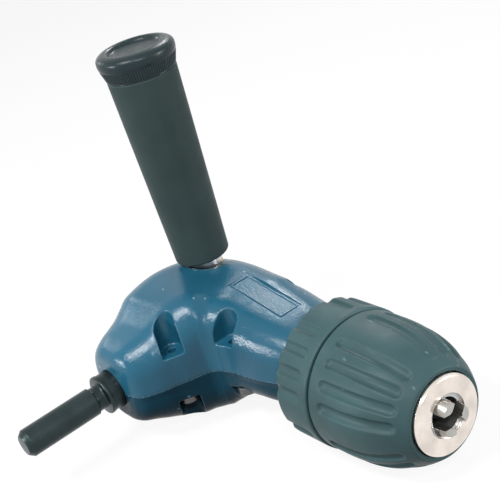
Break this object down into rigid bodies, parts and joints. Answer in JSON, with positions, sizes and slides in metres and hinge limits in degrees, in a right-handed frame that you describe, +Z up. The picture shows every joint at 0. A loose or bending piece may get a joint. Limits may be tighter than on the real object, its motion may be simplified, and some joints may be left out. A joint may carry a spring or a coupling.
{
  "type": "right angle drill attachment",
  "caption": "Right angle drill attachment: a round drive shank turns a keyless three-jaw chuck through bevel gears, with a screw-on side handle.",
  "frame": {"origin": "middle of the drive shank's round part, on its axis", "axes": "+Y runs along the shank into the housing, +X is the way the chuck points, +Z runs up the side handle"},
  "size_m": [0.1294, 0.1025, 0.1221],
  "materials": {
    "housing_paint": "gloss paint on a die casting",
    "black_steel": "black oxide, satin",
    "dark_steel": "dark oxide",
    "plain_steel": "turned",
    "gear_steel": "cut and hardened",
    "bearing_steel": "ground",
    "bright_steel": "ground",
    "nose_steel": "polished",
    "washer_steel": "plain zinc",
    "bronze": "sintered",
    "brass": "turned",
    "chuck_plastic": "semi-matte",
    "grip_plastic": "fine grain",
    "cap_plastic": "semi-gloss",
    "seal_rubber": "matte"
  },
  "bodies": {
    "housing": {"housing_upper": "housing_paint", "housing_lower": "housing_paint", "housing_screws": "dark_steel", "housing_dowels": "bright_steel", "handle_insert": "brass", "input_bush_outer": "bronze", "input_bush_inner": "bronze", "output_bush": "bronze", "bearing_outer_ring": "bearing_steel"},
    "input": {"input_shaft": "black_steel", "input_gear": "gear_steel", "input_gear_pin": "bright_steel", "input_circlip": "dark_steel", "input_thrust_washer": "bronze"},
    "output": {"output_shaft": "plain_steel", "output_gear": "gear_steel", "output_gear_pin": "bright_steel", "bearing_inner_ring": "bearing_steel", "output_circlip": "dark_steel", "chuck_body": "plain_steel", "chuck_front": "plain_steel", "chuck_screw": "dark_steel", "chuck_collar": "chuck_plastic", "nose_cap": "nose_steel", "chuck_thrust_race": "bearing_steel"},
    "bearing_set": {"bearing_cage": "brass", "bearing_balls": "bearing_steel"},
    "sleeve": {"chuck_sleeve": "chuck_plastic", "chuck_nut": "gear_steel", "nut_ring": "plain_steel"},
    "thrust_set": {"thrust_cage": "brass", "thrust_balls": "bearing_steel"},
    "first_jaw": {"jaw_1": "bright_steel"},
    "second_jaw": {"jaw_2": "bright_steel"},
    "third_jaw": {"jaw_3": "bright_steel"},
    "foot_washer": {"handle_washer": "washer_steel"},
    "handle": {"handle_grip": "grip_plastic", "handle_stud": "plain_steel"},
    "seal": {"cap_seal": "seal_rubber"},
    "cap": {"handle_cap": "cap_plastic"}
  },
  "joints": [
    {"name": "output_spin", "type": "hinge", "parent": "housing", "child": "output", "pos_m": [0.03, 0.0665, 0], "axis": [1, 0, 0], "continuous": true},
    {"name": "input_spin", "type": "hinge", "parent": "housing", "child": "input", "pos_m": [0, 0.0365, 0], "axis": [0, 1, 0], "continuous": true},
    {"name": "bearing_spin", "type": "hinge", "parent": "housing", "child": "bearing_set", "pos_m": [0.022, 0.0665, 0], "axis": [1, 0, 0], "continuous": true},
    {"name": "sleeve_turn", "type": "hinge", "parent": "output", "child": "sleeve", "pos_m": [0.09, 0.0665, 0], "axis": [1, 0, 0], "range_deg": [-1550, 2425]},
    {"name": "thrust_turn", "type": "hinge", "parent": "output", "child": "thrust_set", "pos_m": [0.086, 0.0665, 0], "axis": [1, 0, 0], "range_deg": [-776, 1214]},
    {"name": "first_jaw_slide", "type": "slide", "parent": "output", "child": "first_jaw", "axis": [0.9659, -0.2549, 0.0449], "range_m": [-0.0108, 0.0069]},
    {"name": "second_jaw_slide", "type": "slide", "parent": "output", "child": "second_jaw", "axis": [0.9659, 0.0885, -0.2432], "range_m": [-0.0108, 0.0069]},
    {"name": "third_jaw_slide", "type": "slide", "parent": "output", "child": "third_jaw", "axis": [0.9659, 0.1664, 0.1983], "range_m": [-0.0108, 0.0069]},
    {"name": "handle_turn", "type": "hinge", "parent": "foot_washer", "child": "handle", "pos_m": [0, 0.068, 0.05], "axis": [0, 0, 1], "range_deg": [0, 1801]},
    {"name": "handle_lift", "type": "slide", "parent": "housing", "child": "foot_washer", "axis": [0, 0, 1], "range_m": [0, 0.00625]},
    {"name": "cap_turn", "type": "hinge", "parent": "seal", "child": "cap", "pos_m": [0, 0.068, 0.09], "axis": [0, 0, 1], "range_deg": [0, 1430]},
    {"name": "cap_lift", "type": "slide", "parent": "handle", "child": "seal", "axis": [0, 0, 1], "range_m": [0, 0.00595]}
  ],
  "couplings": [
    {"joint": "input_spin", "follows": "output_spin", "ratio": 1},
    {"joint": "bearing_spin", "follows": "output_spin", "ratio": 0.3827},
    {"joint": "thrust_turn", "follows": "sleeve_turn", "ratio": 0.5},
    {"joint": "first_jaw_slide", "follows": "sleeve_turn", "m_per_rad": -0.00025465},
    {"joint": "second_jaw_slide", "follows": "sleeve_turn", "m_per_rad": -0.00025465},
    {"joint": "third_jaw_slide", "follows": "sleeve_turn", "m_per_rad": -0.00025465},
    {"joint": "handle_turn", "follows": "handle_lift", "rad_per_m": 5026.5},
    {"joint": "cap_turn", "follows": "cap_lift", "rad_per_m": 4188.8}
  ]
}
